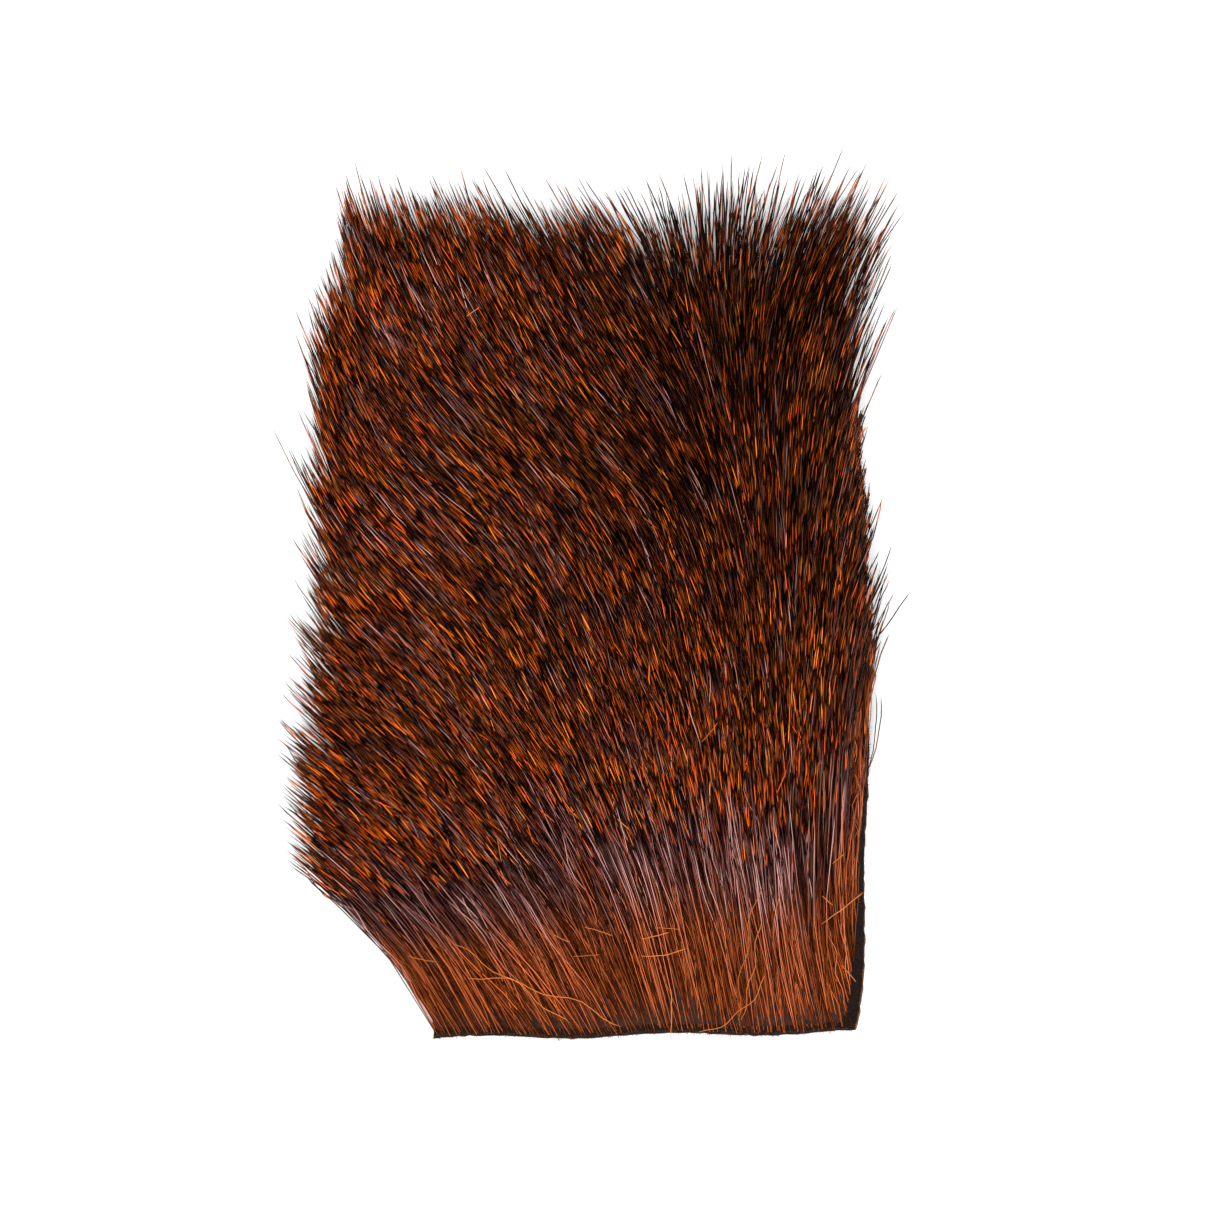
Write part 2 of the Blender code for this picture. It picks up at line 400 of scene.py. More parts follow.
class PatchColours(bpy.types.PropertyGroup):
    """Colours of the dyed hair, from root to tip, some of them painted sheen, and of the skin."""

    shaft: bpy.props.FloatVectorProperty(
        name="Shaft", description="Rusty brown of a hair's lower part",
        subtype="COLOR", size=3, min=0, max=1, default=(0.390, 0.081, 0.015))
    # Ash: a greyer brown, partly the hair's own colour and partly painted sheen.
    ash_and_sheen: bpy.props.FloatVectorProperty(
        name="Ash", description="Greyer brown in the middle of a hair",
        subtype="COLOR", size=3, min=0, max=1, default=(0.140, 0.036, 0.028))
    # Pale: painted sheen, a pinkish grey for the glints on the middle of the palest hairs.
    pale: bpy.props.FloatVectorProperty(
        name="Pale", description="Pinkish grey in the middle of the palest hairs",
        subtype="COLOR", size=3, min=0, max=1, default=(0.400, 0.220, 0.200))
    dark: bpy.props.FloatVectorProperty(
        name="Dark", description="Nearly black brown below and above the band",
        subtype="COLOR", size=3, min=0, max=1, default=(0.008, 0.0012, 0.0006))
    band: bpy.props.FloatVectorProperty(
        name="Band", description="Rust red band below the tip",
        subtype="COLOR", size=3, min=0, max=1, default=(0.480, 0.064, 0.006))
    gold: bpy.props.FloatVectorProperty(
        name="Gold", description="Band of the lightest hairs",
        subtype="COLOR", size=3, min=0, max=1, default=(0.760, 0.220, 0.020))
    tip: bpy.props.FloatVectorProperty(
        name="Tip", description="The hair's tip",
        subtype="COLOR", size=3, min=0, max=1, default=(0.240, 0.066, 0.016))
    loose: bpy.props.FloatVectorProperty(
        name="Loose", description="Loose light hairs",
        subtype="COLOR", size=3, min=0, max=1, default=(0.900, 0.270, 0.060))
    flesh: bpy.props.FloatVectorProperty(
        name="Flesh side", description="The skin's underside",
        subtype="COLOR", size=3, min=0, max=1, default=(0.200, 0.095, 0.050))
    cut: bpy.props.FloatVectorProperty(
        name="Cut edge", description="The skin where the knife cut it",
        subtype="COLOR", size=3, min=0, max=1, default=(0.010, 0.006, 0.0045))


def between(low, high, share):
    """The value at this share of the way from low to high."""
    return low + (high - low) * share


def on_skin(across, along):
    """The skin's underside at shares of its width and length: a blend of its corners, whose right side
    bulges by a skewed half wave and whose cut sides waver by a sine."""
    across = np.asarray(across, float)
    along = np.asarray(along, float)
    low = between(LOW_LEFT, LOW_RIGHT, across[..., None])
    high = between(TOP_LEFT, TOP_RIGHT, across[..., None])
    point = between(low, high, along[..., None])
    point[..., 0] += RIGHT_BULGE * across * np.sin(np.pi * np.clip(along, 0, 1) ** BULGE_SKEW)
    point[..., 0] += CUT_WAVER * (2 * across - 1) * np.sin(WAVES_ALONG * along)
    point[..., 1] += CUT_WAVER * (1 - along) * np.sin(WAVES_ACROSS * across)
    return point


def leaned_in(across, along, lean=1.0, bare=0.0):
    """on_skin drawn in by this share of the cut's lean, and by bare at its top right corner."""
    corner = np.clip(1 - along / CORNER_LEAN_SHARE, 0, 1)
    left = CUT_LEAN * lean / SKIN_WIDTH
    right = (CUT_LEAN + CUT_LEAN_CORNER * corner) * lean / SKIN_WIDTH
    right = right + bare / SKIN_WIDTH * np.clip((along - BARE_FROM) / (1 - BARE_FROM), 0, 1)
    low = CUT_LEAN_LOW * lean / SKIN_LENGTH
    top = CUT_LEAN * lean / SKIN_LENGTH
    return on_skin(between(left, 1 - right, across), between(low, 1 - top, along))


def comb_way(points, lean=0.0):
    """Unit vectors of the hair's lie at (..., 2) points: the comb table's angle, blended between its rows
    and columns, turned by lean degrees to the right."""
    x = np.clip(points[..., 0], COMB_ACROSS[0], COMB_ACROSS[-1])
    y = np.clip(points[..., 1], COMB_ALONG[0], COMB_ALONG[-1])
    column = np.clip(np.searchsorted(COMB_ACROSS, x) - 1, 0, len(COMB_ACROSS) - 2)
    row = np.clip(np.searchsorted(COMB_ALONG, y) - 1, 0, len(COMB_ALONG) - 2)
    right = (x - COMB_ACROSS[column]) / (COMB_ACROSS[column + 1] - COMB_ACROSS[column])
    up = (y - COMB_ALONG[row]) / (COMB_ALONG[row + 1] - COMB_ALONG[row])
    low = between(COMB[row, column], COMB[row, column + 1], right)
    high = between(COMB[row + 1, column], COMB[row + 1, column + 1], right)
    return heading_way(between(low, high, up) - lean)


def heading_way(degrees):
    """Unit vectors that head this many degrees to the left of +Y."""
    angle = np.radians(degrees)
    return np.stack([-np.sin(angle), np.cos(angle)], axis=-1)


def levels_of(stations, crowd):
    """Shares of a hair's length at its stations, which crowd towards the tip by a falling power."""
    return 1 - (1 - np.arange(stations) / (stations - 1)) ** crowd


def rise_at(level):
    """Share of its height that a hair has at a share of its length: one less a falling power."""
    return 1 - (1 - level) ** RISE_POWER


def carry(start, reach, lean, levels):
    """Paths (n, stations, 2) from start points along the comb, in midpoint steps between these levels."""
    path = [start]
    for share in np.diff(levels):
        step = (reach * share)[:, None]
        middle = path[-1] + comb_way(path[-1], lean) * step / 2
        path.append(path[-1] + comb_way(middle, lean) * step)
    return np.stack(path, axis=1)


def jittered(rng, count):
    """About count points spread evenly over the unit square: one at a random place in each cell."""
    columns = round(math.sqrt(count * SKIN_WIDTH / SKIN_LENGTH))
    rows = round(count / columns)
    i, j = np.meshgrid(np.arange(columns), np.arange(rows), indexing="ij")
    across = (i.ravel() + rng.random(i.size)) / columns
    along = (j.ravel() + rng.random(j.size)) / rows
    return across, along


def nearest(points, centres):
    """The index of the centre nearest to each point, worked out in blocks of points."""
    found = []
    for block in np.array_split(points, max(1, len(points) // 2000)):
        found.append(np.argmin(((block[:, None] - centres[None]) ** 2).sum(-1), axis=1))
    return np.concatenate(found)


def hair_radii(widths, levels):
    """Radii along each hair: part of its half width at the root, all of it from FULL_FROM on, and drawn
    to a point from TAPER_FROM on by a parabola."""
    rise = between(ROOT_WIDTH, 1.0, np.clip(levels / FULL_FROM, 0, 1))
    fall = 1 - (np.clip(levels - TAPER_FROM, 0, 1) / (1 - TAPER_FROM)) ** 2
    return widths[:, None] / 2 * (rise * fall)[None]


def tubes(name, paths, radii, shade, levels, grown=None):
    """One mesh of closed hairs. Each is a tube round its path (n, k, 3) of the radii (n, k), whose last
    station is its point. The map's u is the hair's shade, and its v the level, or the share grown of it."""
    count, stations, _ = paths.shape
    sides = HAIR_SIDES
    ahead = np.gradient(paths, axis=1)
    ahead /= np.linalg.norm(ahead, axis=2, keepdims=True)
    side = np.cross(ahead, np.array([0.0, 0.0, 1.0]))
    side /= np.maximum(np.linalg.norm(side, axis=2, keepdims=True), 1e-9)
    over = np.cross(side, ahead)
    turn = np.arange(sides) * 2 * np.pi / sides + np.pi / 2
    ring = (side[:, :, None] * np.cos(turn)[:, None] + over[:, :, None] * np.sin(turn)[:, None])
    rings = paths[:, :-1, None] + ring[:, :-1] * radii[:, :-1, None, None]
    points = np.concatenate([rings.reshape(count, -1, 3), paths[:, -1:]], axis=1)
    per_hair = points.shape[1]

    j = np.arange(sides)
    following = (j + 1) % sides
    k = np.arange(stations - 2)[:, None] * sides
    quads = np.stack([k + j, k + following, k + sides + following, k + sides + j], axis=-1)
    quads = quads.reshape(-1, 4)
    last = (stations - 2) * sides
    tips = np.stack([last + j, last + following, np.full(sides, per_hair - 1)], axis=-1)
    cap = j[::-1]
    corners = np.concatenate([quads.ravel(), tips.ravel(), cap])
    sizes = np.concatenate([np.full(len(quads), 4), np.full(sides, 3), [sides]])

    across = (j / sides - 0.5) * SHADE_SHARE / SHADES
    across_next = ((j + 1) / sides - 0.5) * SHADE_SHARE / SHADES
    low = np.repeat(levels[:-2], sides)
    high = np.repeat(levels[1:-1], sides)
    near = np.tile(across, stations - 2)
    far = np.tile(across_next, stations - 2)
    quad_u = np.stack([near, far, far, near], axis=-1).ravel()
    quad_v = np.stack([low, low, high, high], axis=-1).ravel()
    tip_u = np.stack([across, across_next, (across + across_next) / 2], axis=-1).ravel()
    tip_v = np.tile([levels[-2], levels[-2], 1.0], sides)
    cap_v = (cap % 2) * levels[1] * CAP_SHARE
    map_u = np.concatenate([quad_u, tip_u, across[cap]])
    map_v = np.concatenate([quad_v, tip_v, cap_v])

    hair = np.arange(count)[:, None]
    loops = (corners[None] + hair * per_hair).ravel()
    totals = np.tile(sizes, count)
    starts = np.concatenate([[0], np.cumsum(totals)[:-1]])
    column = (np.floor(np.clip(shade, 0, LAST_SHADE) * SHADES) + 0.5) / SHADES
    grown = np.ones(count) if grown is None else grown
    u = (map_u[None] + column[:, None]).ravel()
    v = (map_v[None] * grown[:, None]).ravel()
    uv = np.stack([u, v], axis=-1).astype(np.float32)

    mesh = bpy.data.meshes.new(name)
    mesh.vertices.add(count * per_hair)
    mesh.vertices.foreach_set("co", points.astype(np.float32).ravel())
    mesh.loops.add(len(loops))
    mesh.loops.foreach_set("vertex_index", loops.astype(np.int32))
    mesh.polygons.add(len(totals))
    mesh.polygons.foreach_set("loop_start", starts.astype(np.int32))
    mesh.polygons.foreach_set("loop_total", totals.astype(np.int32))
    mesh.uv_layers.new(name=HAIR_MAP)
    mesh.uv_layers[HAIR_MAP].data.foreach_set("uv", uv.ravel())
    mesh.update(calc_edges=True)
    mesh.shade_smooth()
    return mesh


def linked(data):
    """A new object of this data and its name, in the scene."""
    made = bpy.data.objects.new(data.name, data)
    bpy.context.scene.collection.objects.link(made)
    return made


def place(mesh, finish):
    """Put a finished mesh in the scene as a piece of the hide."""
    piece = linked(mesh)
    piece.data.materials.append(finish)
    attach(piece, "root")
    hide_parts(NODE)
    return piece


class Clumps:
    """Clumps that the hairs gather to: their roots, lean from the comb, lift, tone and reach."""

    def __init__(self, sizes):
        rng = np.random.default_rng(CLUMP_SEED)
        across, along = jittered(rng, SKIN_WIDTH * SKIN_LENGTH / sizes.clump ** 2)
        self.roots = leaned_in(across, along)
        self.lean = rng.normal(0, CLUMP_LEAN, len(across))
        self.lift = rng.normal(0, CLUMP_LIFT, len(across))
        self.tone = rng.normal(0, CLUMP_TONE, len(across))
        self.reach = np.full(len(across), sizes.hair_length)


def gathered(paths, clumps, member, hold, levels):
    """Draw each path towards its clump's, by a share that grows by a power from nothing to hold."""
    share = hold[:, None, None] * levels[None, :, None] ** GATHER_POWER
    middles = carry(clumps.roots, clumps.reach, clumps.lean, levels)
    return between(paths, middles[member], share)


def swung(rng, paths, swing, waves, levels):
    """Swing each path sideways by a sine of its own phase, whose width grows by a square root."""
    phase = rng.random(len(paths)) * 2 * np.pi
    width = rng.normal(0, swing, len(paths))
    along = paths[:, -1] - paths[:, 0]
    along /= np.linalg.norm(along, axis=1, keepdims=True)
    aside = np.stack([along[:, 1], -along[:, 0]], axis=1)
    turn = waves * rng.uniform(*WAVES_SPREAD, len(paths)) * 2 * np.pi
    sine = np.sin(turn[:, None] * levels[None] + phase[:, None]) * np.sqrt(levels)[None]
    return paths + aside[:, None] * (sine * width[:, None])[..., None]


def stood_up(flat, height, droop, levels):
    """Give (n, k, 2) paths their height: each rises from the skin, and its tip droops by a cube."""
    up = SKIN_TOP + height[:, None] * rise_at(levels)[None] - droop[:, None] * levels[None] ** 3
    return np.concatenate([flat, up[..., None]], axis=2)


def regional(tips):
    """How much lighter the coat is near these tips: a line across the region, whose left end rises by a
    square towards the top, a square that rises towards its lower edge, and bells."""
    across, along = np.clip((tips[:, :2] - REGION_CORNER) / REGION_SIZE, 0, 1).T
    left = LIGHT_LEFT + LIGHT_TOP_LEFT * along ** 2
    low = LIGHT_LOW * (1 - along) ** 2 * (1 - LIGHT_LOW_FADE * across)
    lighter = left * (1 - across) + low + LIGHT_RIGHT * across
    for middle, width, gain in LIGHT_BELLS:
        away = (tips[:, :2] - middle) / width
        lighter = lighter + gain * np.exp(-(away ** 2).sum(axis=1))
    return lighter


def longer_at(roots):
    """How many times longer hairs are at these roots: by a square towards the skin's top right corner, by
    an eighth power along its top edge, less in a bell there, and by LEFT_LONGER at its left edge."""
    across = np.clip((roots[:, 0] - LOW_LEFT[0]) / SKIN_WIDTH, 0, 1)
    along = np.clip((roots[:, 1] - LOW_LEFT[1]) / SKIN_LENGTH, 0, 1)
    gap = np.exp(-((roots[:, 0] - GAP_MIDDLE) / GAP_WIDTH) ** 2)
    top = LONGER_TOP - GAP_SHORTER * gap
    side = np.interp(roots[:, 1], LEFT_AT, LEFT_LONGER) - 1
    side = side * np.clip(1 - across * SKIN_WIDTH / LEFT_FADE, 0, 1)
    return 1 + LONGER_TOP_RIGHT * across * along ** 2 + top * along ** 8 + side


def uneven(rng, across, along):
    """How many times longer each hair is than the rest: evenly drawn near the lower edge, where none is
    longer at its left, and by a cube for a few at the top right."""
    low = np.clip(1 - along / UNEVEN_FADE, 0, 1)
    right = np.clip((across - UNEVEN_FROM) / UNEVEN_OVER, 0, 1)
    few = right * along ** 4 * rng.random(len(along)) ** 3
    more = rng.uniform(UNEVEN_SHORT * right, UNEVEN_LONG * right)
    return 1 + low * more + UNEVEN_TOP * few


def shortened(rng, across, roots, length):
    """These lengths, cut down to the pile's in it, to what stays clear of its wide part, and to the room
    at the right edge, and the share of its colours that each hair has."""
    x, y = roots.T
    from_edge = (1 - across) * SKIN_WIDTH + rng.normal(0, PILE_ROUGHNESS, len(x))
    pile = from_edge < np.interp(y, PILE_AT, PILE_WIDTH)
    short = np.interp(y, PILE_AT, PILE_LENGTH) * rng.uniform(*PILE_SPREAD, len(x))
    room = np.maximum(CLEAR_LENGTH, CLEAR_FROM[1] - y) * rng.uniform(*CLEAR_SPREAD, len(x))
    side = np.interp(y, SIDE_AT, SIDE_ROOM) + SIDE_SLOPE * np.maximum(from_edge, 0)
    near = (x > CLEAR_FROM[0]) & (y < CLEAR_FROM[1])
    found = np.minimum(np.where(near, np.minimum(length, room), length), side)
    return np.where(pile, short, found), np.where(pile, PILE_COLOURS, 1.0)


def grow(coat, count, sizes, clumps, finish):
    """Grow about count hairs of a coat over the skin."""
    rng = np.random.default_rng(coat.seed)
    levels = levels_of(coat.stations, coat.crowd)
    across, along = jittered(rng, count)
    along = along * coat.rooted
    roots = leaned_in(across, along)
    n = len(roots)
    member = nearest(roots + rng.normal(0, sizes.clump * CLUMP_BLUR, (n, 2)), clumps.roots)
    full = sizes.hair_length * rng.uniform(*coat.reach, n) * longer_at(roots)
    full = full * uneven(rng, across, along)
    length, grown = shortened(rng, across, roots, full)
    starts = roots - (0, ROOT_STRAY) * rng.random((n, 1))
    lean = rng.normal(0, coat.lean, n)
    lean = lean * between(LEFT_LEAN, 1.0, np.clip(across / LEFT_LEAN_FADE, 0, 1))
    flat = carry(starts, length, lean + clumps.lean[member], levels)
    hold = np.clip(rng.normal(coat.hold, HOLD_SPREAD, n), 0, MOST_HOLD) * (length == full)
    flat = gathered(flat, clumps, member, hold, levels)
    flat = swung(rng, flat, coat.swing, coat.waves, levels)
    tall = sizes.coat_height * (rng.uniform(*coat.height, n) + clumps.lift[member]) * length / full
    paths = stood_up(flat, tall, rng.random(n) * coat.droop * length / full, levels)
    radii = hair_radii(sizes.hair_width * rng.uniform(*coat.width, n), levels)
    tone = rng.normal(coat.tone, TONE_SPREAD, n) + clumps.tone[member] + regional(paths[:, -1])
    return place(tubes(coat.name, paths, radii, tone, levels, grown), finish)


def grow_coats(scene, name, band, coats):
    """Grow these (coat, count) pairs round the same clumps, in one finish with bands of this share."""
    finish = banded_hair(name, scene.patch_colours, band)
    clumps = Clumps(scene.patch_sizes)
    for coat, count in coats:
        grow(coat, count, scene.patch_sizes, clumps, finish)


def node_of(tree, kind, **values):
    """A new node of this kind with these values."""
    made = tree.nodes.new(kind)
    for key, value in values.items():
        setattr(made, key, value)
    return made


def math_node(tree, operation, first, second=0.0, third=0.0, use_clamp=False):
    """A Math node; each operand is a number or a socket."""
    made = node_of(tree, "ShaderNodeMath", operation=operation, use_clamp=use_clamp)
    for socket, value in zip(made.inputs, (first, second, third)):
        if isinstance(value, (int, float)):
            socket.default_value = value
        else:
            tree.links.new(value, socket)
    return made.outputs[0]


def ramp(tree, factor, stops):
    """A Color Ramp with (place, colour) stops."""
    made = tree.nodes.new("ShaderNodeValToRGB")
    elements = made.color_ramp.elements
    while len(elements) < len(stops):
        elements.new(0.5)
    for element, (place_at, colour) in zip(elements, stops):
        element.position = place_at
        element.color = (*colour, 1.0)
    tree.links.new(factor, made.inputs[0])
    return made.outputs[0]


def mixed(tree, first, second, blend="MIX", share=1.0):
    """A Mix node of two colour sockets, by a number or a socket."""
    made = node_of(tree, "ShaderNodeMix", data_type="RGBA", blend_type=blend)
    if isinstance(share, float):
        made.inputs[0].default_value = share
    else:
        tree.links.new(share, made.inputs[0])
    tree.links.new(first, made.inputs[6])
    tree.links.new(second, made.inputs[7])
    return made.outputs[2]


def new_material(name, roughness, shine=0.5):
    """A new material, its node tree and its shader."""
    made = bpy.data.materials.new(name)
    made.use_nodes = True
    shader = made.node_tree.nodes["Principled BSDF"]
    shader.inputs["Roughness"].default_value = roughness
    shader.inputs["Specular IOR Level"].default_value = shine
    return made, made.node_tree, shader


def scaled(colour, factor):
    """A colour made this many times lighter."""
    return tuple(min(1.0, channel * factor) for channel in colour)


def hair_place(tree):
    """Sockets of a hair's shade, its level, three numbers drawn for its shade, and how near its ridge is.
    The ridge is the distance from the middle of the shade's column as a share of the half width."""
    uv = node_of(tree, "ShaderNodeUVMap", uv_map=HAIR_MAP)
    split = tree.nodes.new("ShaderNodeSeparateXYZ")
    tree.links.new(uv.outputs[0], split.inputs[0])
    column = math_node(tree, "MULTIPLY", split.outputs[0], float(SHADES))
    number = math_node(tree, "FLOOR", column)
    aside = math_node(tree, "SUBTRACT", math_node(tree, "FRACT", column), 0.5)
    ridge = math_node(tree, "MULTIPLY", math_node(tree, "ABSOLUTE", aside), 2 / SHADE_SHARE)
    noise = node_of(tree, "ShaderNodeTexWhiteNoise", noise_dimensions="1D")
    tree.links.new(math_node(tree, "ADD", number, NOISE_START), noise.inputs["W"])
    drawn = node_of(tree, "ShaderNodeSeparateColor")
    tree.links.new(noise.outputs["Color"], drawn.inputs[0])
    return split.outputs[0], split.outputs[1], drawn.outputs, ridge


def banded(tree, along, colours, band, share):
    """Colour from root to tip: shaft, dark, a band over this share of the hair, dark, tip."""
    shaft, dark = colours.shaft, colours.dark
    return ramp(tree, along, (
        (0.00, scaled(shaft, 1.10)),
        (0.08, scaled(shaft, 1.30)),
        (0.50, scaled(shaft, 0.88)),
        (0.66, dark),
        (0.84, dark),
        (0.86, band),
        (0.86 + share, band),
        (0.885 + share, scaled(shaft, 0.05)),
        (1.00, colours.tip),
    ))


def banded_hair(name, colours, share):
    """Dyed hair: banded from root to tip, its bands moved, brightened and gilded by numbers drawn for its
    shade, and its middle ash, partly painted sheen, or pale, wholly painted sheen, where its shade is
    light.
    Its ridge is lighter as a painted highlight and its sides darker as painted shade. By powers, few are
    bright, gold or pale."""
    made, tree, shader = new_material(name, roughness=0.25, shine=0.02)
    shade, level, drawn, ridge = hair_place(tree)
    shift = math_node(tree, "MULTIPLY_ADD", drawn[0], 2 * BAND_SHIFT, -BAND_SHIFT)
    along = math_node(tree, "ADD", level, shift)
    rust = banded(tree, along, colours, colours.band, share)
    gold = banded(tree, along, colours, colours.gold, share)
    colour = mixed(tree, rust, gold, share=math_node(tree, "POWER", drawn[2], GOLD_POWER))
    # Painted sheen: along its middle, and more where its shade is light, a hair turns ash, partly a real
    # greyer brown and partly painted sheen, and a few turn pale, which is painted sheen.
    painted_sheen_share = math_node(tree, "POWER", math_node(tree, "SUBTRACT", 1.0, drawn[2]), PAINTED_SHEEN_POWER)
    grey = ramp(tree, painted_sheen_share, ((0.0, colours.ash_and_sheen), (1.0, colours.pale)))
    middle = ramp(tree, along, [(spot, (ash_and_sheen,) * 3) for spot, ash_and_sheen in ASH_AND_SHEEN_ALONG])
    ash_and_sheen_share = math_node(tree, "MULTIPLY_ADD", shade, ASH_AND_SHEEN_GAIN, ASH_AND_SHEEN_FROM, use_clamp=True)
    colour = mixed(tree, colour, grey, share=math_node(tree, "MULTIPLY", middle, ash_and_sheen_share))
    bright = math_node(tree, "POWER", drawn[1], DRAWN_POWER)
    gain = math_node(tree, "MULTIPLY_ADD", bright, DRAWN_GAIN, LEAST_DRAWN)
    by_tone = math_node(tree, "MULTIPLY_ADD", shade, TONE_GAIN, LEAST_TONE)
    # Painted highlight and shade: each hair is lighter along its top ridge and darker at its sides.
    painted_ridge_light = math_node(tree, "MULTIPLY_ADD", ridge, RIDGE_HIGHLIGHT_GAIN, SIDE_SHADE_GAIN)
    gain = math_node(tree, "MULTIPLY", math_node(tree, "MULTIPLY", gain, by_tone), painted_ridge_light)
    tree.links.new(mixed(tree, colour, gain, "MULTIPLY"), shader.inputs["Base Color"])
    return made


def plain_hair(name, dark, light):
    """Hair of one colour from root to tip, between dark and light by a number drawn for its shade."""
    made, tree, shader = new_material(name, roughness=0.5, shine=0.04)
    drawn = hair_place(tree)[2]
    tree.links.new(ramp(tree, drawn[1], ((0.0, dark), (1.0, light))), shader.inputs["Base Color"])
    return made


def rim_of(shape):
    """Indices of the border points of a (columns, rows) grid, anticlockwise from its low left corner."""
    index = np.arange(shape[0] * shape[1]).reshape(shape)
    return np.concatenate([index[:-1, 0], index[-1, :-1], index[:0:-1, -1], index[0, :0:-1]])


def unit_grid(faces):
    """Shares across and along of a grid's points, flat, and the grid's shape."""
    columns, rows = np.linspace(0, 1, faces[0] + 1), np.linspace(0, 1, faces[1] + 1)
    across, along = np.meshgrid(columns, rows, indexing="ij")
    return across.ravel(), along.ravel(), across.shape


def at_height(flat, height):
    """(n, 2) points as (n, 3) points at this height."""
    return np.column_stack([flat, np.full(len(flat), height)])


def closed_body(name, low, high, shape, rings):
    """A closed mesh from a lower and an upper grid of points, with rings between their borders."""
    index = np.arange(shape[0] * shape[1]).reshape(shape)
    quads = np.stack([index[:-1, :-1], index[1:, :-1], index[1:, 1:], index[:-1, 1:]], axis=-1)
    quads = quads.reshape(-1, 4)
    edge = rim_of(shape)
    count = len(low)
    borders = [edge]
    for number in range(len(rings)):
        borders.append(2 * count + number * len(edge) + np.arange(len(edge)))
    borders.append(edge + count)
    bands = []
    for lower, upper in zip(borders, borders[1:]):
        bands.append(np.stack([lower, np.roll(lower, -1), np.roll(upper, -1), upper], axis=-1))
    faces = np.concatenate([quads[:, ::-1], quads + count, *bands])
    mesh = bpy.data.meshes.new(name)
    mesh.from_pydata(np.concatenate([low, high, *rings]).tolist(), [], faces.tolist())
    mesh.update()
    return mesh


def noise_at(tree, where, scale, detail):
    """A Noise Texture at this place, of this scale and detail."""
    noise = node_of(tree, "ShaderNodeTexNoise")
    noise.inputs["Scale"].default_value = scale
    noise.inputs["Detail"].default_value = detail
    tree.links.new(where, noise.inputs["Vector"])
    return noise.outputs[0]


def tanned_skin(colours):
    """Skin: suede brown with fine mottling on the flesh side, nearly black and fibrous at the cut."""
    made, tree, shader = new_material("tanned skin", roughness=0.9, shine=0.1)
    where = tree.nodes.new("ShaderNodeTexCoord").outputs["Object"]
    split = tree.nodes.new("ShaderNodeSeparateXYZ")
    tree.links.new(where, split.inputs[0])
    noise = noise_at(tree, where, scale=900.0, detail=6.0)
    level = math_node(tree, "DIVIDE", split.outputs[2], SKIN_TOP)
    side = ramp(tree, level, ((0.06, colours.flesh), (0.16, colours.cut)))
    gain = math_node(tree, "MULTIPLY_ADD", noise, MOTTLE_GAIN, LEAST_MOTTLE)
    tree.links.new(mixed(tree, side, gain, "MULTIPLY"), shader.inputs["Base Color"])
    bump = node_of(tree, "ShaderNodeBump")
    bump.inputs["Distance"].default_value = SKIN_BUMP
    tree.links.new(noise, bump.inputs["Height"])
    tree.links.new(bump.outputs[0], shader.inputs["Normal"])
    return made


def underfur_painted_shade(colours):
    """Underfur: near black brown as painted shade deep in the coat, mottled by a fine noise."""
    made, tree, shader = new_material("matted underfur", roughness=0.95)
    where = tree.nodes.new("ShaderNodeTexCoord").outputs["Object"]
    noise = noise_at(tree, where, scale=2200.0, detail=3.0)
    colour = ramp(tree, noise, ((0.35, colours.dark), (0.75, scaled(colours.shaft, UNDERFUR_SHADE_LIGHT))))
    tree.links.new(colour, shader.inputs["Base Color"])
    return made


class DEERHIDE_OT_lay_skin(bpy.types.Operator):
    """Lay the skin: a flat sheet with a knife-cut edge, dark at the cut and suede below"""

    bl_idname = "deer_hide.lay_skin"
    bl_label = "Lay the skin"

    def execute(self, context):
        across, along, shape = unit_grid(SKIN_GRID)
        rng = np.random.default_rng(SKIN_SEED)
        edge = rim_of(shape)
        rings = []
        for level in EDGE_LEVELS:
            ring = leaned_in(across[edge], along[edge], level)
            ring = ring + rng.normal(0, EDGE_ROUGHNESS, ring.shape)
            rings.append(at_height(ring, SKIN_TOP * level))
        low = at_height(on_skin(across, along), 0.0)
        high = at_height(leaned_in(across, along), SKIN_TOP)
        low[edge] = rings[0]
        high[edge] = rings[-1]
        mesh = closed_body("skin", low, high, shape, rings[1:-1])
        skin = place(mesh, tanned_skin(context.scene.patch_colours))
        return {"FINISHED"}


class DEERHIDE_OT_fill_underfur(bpy.types.Operator):
    """Fill the coat's body with matted underfur, dark as painted shade, so that no light shows through the
    hair
    """

    bl_idname = "deer_hide.fill_underfur"
    bl_label = "Fill the underfur"

    def execute(self, context):
        sizes = context.scene.patch_sizes
        across, along, shape = unit_grid(UNDERFUR_GRID)
        across = between(UNDERFUR_INSET, 1 - UNDERFUR_INSET, across)
        along = between(UNDERFUR_INSET, 1 - UNDERFUR_INSET, along)
        roots = leaned_in(across, along, 1.0, BARE_CORNER)
        levels = np.linspace(0, UNDERFUR_REACH, UNDERFUR_RINGS + 2)
        rng = np.random.default_rng(UNDERFUR_SEED)
        length = shortened(rng, across, roots, np.full(len(roots), sizes.hair_length))[0]
        flat = carry(roots, length, 0.0, levels)
        height = sizes.coat_height * UNDERFUR_HEIGHT * rng.normal(1, UNDERFUR_ROUGHNESS, len(roots))
        height *= length / sizes.hair_length
        paths = stood_up(flat, height, np.zeros(len(roots)), levels) + (0, 0, UNDERFUR_LIFT)
        edge = rim_of(shape)
        rings = [paths[edge, number] for number in range(1, UNDERFUR_RINGS + 1)]
        mesh = closed_body("underfur", paths[:, 0], paths[:, -1], shape, rings)
        place(mesh, underfur_painted_shade(context.scene.patch_colours))
        return {"FINISHED"}


